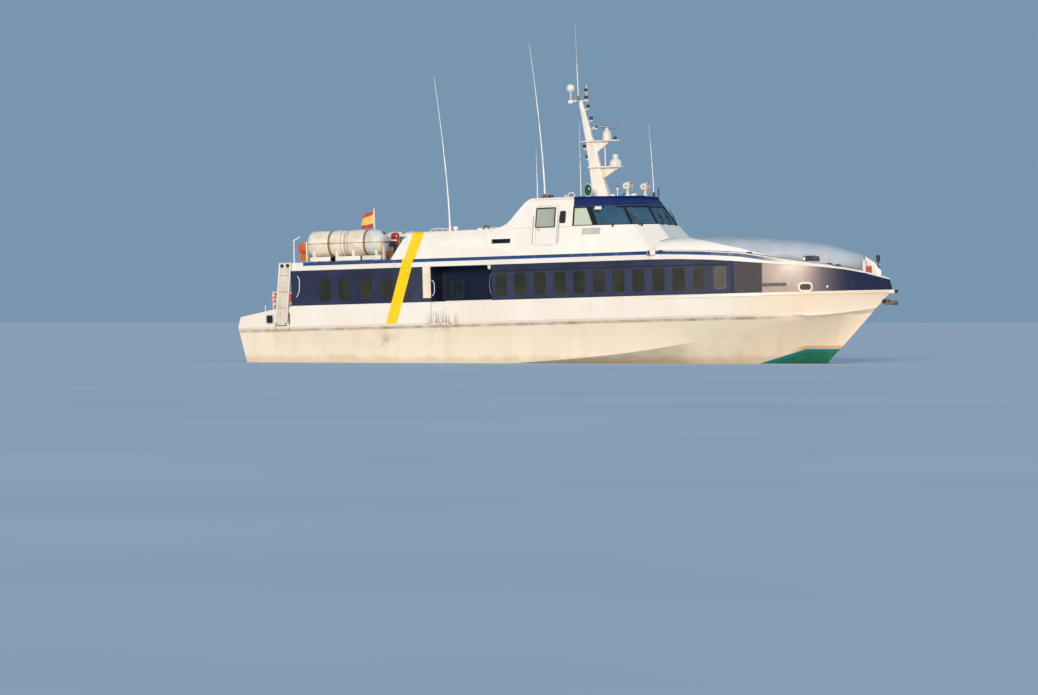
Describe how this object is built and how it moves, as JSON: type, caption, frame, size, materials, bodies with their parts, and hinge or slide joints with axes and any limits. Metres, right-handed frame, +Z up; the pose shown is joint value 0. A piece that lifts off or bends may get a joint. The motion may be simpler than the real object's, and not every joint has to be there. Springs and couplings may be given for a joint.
{
  "type": "passenger ferry",
  "caption": "Fast passenger ferry with a hard-chine hull, full-width saloon house, raised bridge, mast, side boarding bays, stowed gangway, life rafts and rescue boat.",
  "frame": {"origin": "on the centreline, amidships, at the waterline", "axes": "+X towards the bow, +Y to port, +Z up"},
  "size_m": [29.97, 6.665, 16.6402],
  "materials": {
    "hull_paint": "satin, rust stained",
    "band_paint": "gloss navy",
    "house_paint": "gloss",
    "brow_paint": "gloss blue",
    "bridge_glass": "tinted",
    "fitting_paint": "satin",
    "dark_fitting": "matt",
    "helm_trim": "matt",
    "moulded_fibreglass": "moulded gelcoat",
    "tube_fabric": "coated fabric tube",
    "lifebuoy_shell": "moulded shell",
    "fender_rubber": "matt",
    "gangway_alloy": "ribbed plank",
    "running_gear_bronze": "cast and ground",
    "shaft_steel": "turned",
    "flag_cloth": "woven bunting",
    "winch_paint": "worn"
  },
  "bodies": {
    "vessel": {"hull": "hull_paint", "topsides": "hull_paint", "after_bulwark": "hull_paint", "bay_bulwark_starboard": "hull_paint", "bay_bulwark_port": "hull_paint", "rubbing_band": "hull_paint", "main_house": "band_paint", "rafts_starboard": "moulded_fibreglass", "rafts_port": "moulded_fibreglass", "roof_deck": "house_paint", "bow_deck": "house_paint", "rescue_boat": "tube_fabric", "outboard": "dark_fitting", "raised_house": "house_paint", "bridge": "house_paint", "bridge_glazing": "bridge_glass", "bridge_roof": "brow_paint", "helm_console": "helm_trim", "helm_chairs": "helm_trim", "foredeck": "house_paint", "mast": "fitting_paint", "whip_antenna_house": "moulded_fibreglass", "whip_antenna_bridge_aft": "moulded_fibreglass", "whip_antenna_bridge_corner": "moulded_fibreglass", "whip_antenna_bridge_port": "moulded_fibreglass", "whip_antenna_bridge_fore": "moulded_fibreglass", "searchlight_starboard": "fitting_paint", "searchlight_port": "fitting_paint", "gangway_frame": "fitting_paint", "davit_column": "fitting_paint", "flagstaff": "fitting_paint", "flag": "flag_cloth", "lifebuoy_frame": "lifebuoy_shell", "lifebuoy_house": "lifebuoy_shell", "anchor": "dark_fitting", "bow_fender": "fender_rubber", "bow_locker": "house_paint", "windlass": "winch_paint", "bow_light": "dark_fitting", "shaft_starboard": "shaft_steel", "shaft_port": "shaft_steel"},
    "bridge_door_starboard": {"bridge_door_starboard": "house_paint", "bridge_door_glass_starboard": "bridge_glass"},
    "bridge_door_port": {"bridge_door_port": "house_paint", "bridge_door_glass_port": "bridge_glass"},
    "bulwark_gate_starboard": {"bulwark_gate_starboard": "hull_paint"},
    "bulwark_gate_port": {"bulwark_gate_port": "hull_paint"},
    "bay_door_starboard": {"bay_door_starboard": "band_paint"},
    "bay_door_port": {"bay_door_port": "band_paint"},
    "after_door": {"after_door": "house_paint"},
    "gangway": {"gangway": "gangway_alloy"},
    "foredeck_hatch_starboard": {"foredeck_hatch_starboard": "dark_fitting"},
    "foredeck_hatch_port": {"foredeck_hatch_port": "dark_fitting"},
    "radar_scanner": {"radar_scanner": "fitting_paint"},
    "davit_boom": {"davit_boom": "fitting_paint"},
    "propeller_starboard": {"propeller_starboard": "running_gear_bronze"},
    "propeller_port": {"propeller_port": "running_gear_bronze"},
    "rudder_starboard": {"rudder_starboard": "running_gear_bronze"},
    "rudder_port": {"rudder_port": "running_gear_bronze"}
  },
  "joints": [
    {"name": "bridge_door_starboard_hinge", "type": "hinge", "parent": "vessel", "child": "bridge_door_starboard", "pos_m": [0.664, -2.927, 5.02371], "axis": [0, 0.2516, 0.9678], "range_deg": [0, 100]},
    {"name": "bridge_door_port_hinge", "type": "hinge", "parent": "vessel", "child": "bridge_door_port", "pos_m": [0.664, 2.927, 5.02371], "axis": [0, 0.2516, -0.9678], "range_deg": [0, 100]},
    {"name": "bulwark_gate_starboard_hinge", "type": "hinge", "parent": "vessel", "child": "bulwark_gate_starboard", "pos_m": [-5.146, -3.16, 1.8], "axis": [0, 0, 1], "range_deg": [0, 90]},
    {"name": "bulwark_gate_port_hinge", "type": "hinge", "parent": "vessel", "child": "bulwark_gate_port", "pos_m": [-5.146, 3.16, 1.8], "axis": [0, 0, -1], "range_deg": [0, 90]},
    {"name": "bay_door_starboard_hinge", "type": "hinge", "parent": "vessel", "child": "bay_door_starboard", "pos_m": [-3.94, -1.809, 1.8], "axis": [0, 0, 1], "range_deg": [0, 100]},
    {"name": "bay_door_port_hinge", "type": "hinge", "parent": "vessel", "child": "bay_door_port", "pos_m": [-3.94, 1.809, 1.8], "axis": [0, 0, -1], "range_deg": [0, 100]},
    {"name": "after_door_hinge", "type": "hinge", "parent": "vessel", "child": "after_door", "pos_m": [-12.029, 0.45, 1.8], "axis": [0, 0, -1], "range_deg": [0, 110]},
    {"name": "gangway_foot", "type": "hinge", "parent": "vessel", "child": "gangway", "pos_m": [-12.43, -3.305, 1.875], "axis": [1, 0, 0], "range_deg": [0, 100]},
    {"name": "foredeck_hatch_starboard_hinge", "type": "hinge", "parent": "vessel", "child": "foredeck_hatch_starboard", "pos_m": [11.9, -1.495, 4.193], "axis": [-1, 0, 0], "range_deg": [0, 90]},
    {"name": "foredeck_hatch_port_hinge", "type": "hinge", "parent": "vessel", "child": "foredeck_hatch_port", "pos_m": [11.9, 1.495, 4.193], "axis": [1, 0, 0], "range_deg": [0, 90]},
    {"name": "radar_scanner_turn", "type": "hinge", "parent": "vessel", "child": "radar_scanner", "pos_m": [2.14, 0, 10.24], "axis": [0, 0, 1], "continuous": true},
    {"name": "davit_luff", "type": "hinge", "parent": "vessel", "child": "davit_boom", "pos_m": [-7.78, 1.25, 5.83], "axis": [0, 1, 0], "range_deg": [0, 65]},
    {"name": "propeller_starboard_spin", "type": "hinge", "parent": "vessel", "child": "propeller_starboard", "pos_m": [-12.35, -1.45, -1.26], "axis": [1, 0, 0], "continuous": true},
    {"name": "propeller_port_spin", "type": "hinge", "parent": "vessel", "child": "propeller_port", "pos_m": [-12.35, 1.45, -1.26], "axis": [1, 0, 0], "continuous": true},
    {"name": "rudder_starboard_turn", "type": "hinge", "parent": "vessel", "child": "rudder_starboard", "pos_m": [-13.35, -1.45, -0.6], "axis": [0, 0, 1], "range_deg": [-35, 35]},
    {"name": "rudder_port_turn", "type": "hinge", "parent": "vessel", "child": "rudder_port", "pos_m": [-13.35, 1.45, -0.6], "axis": [0, 0, 1], "range_deg": [-35, 35]}
  ],
  "couplings": [
    {"joint": "rudder_port_turn", "follows": "rudder_starboard_turn", "ratio": 1}
  ]
}
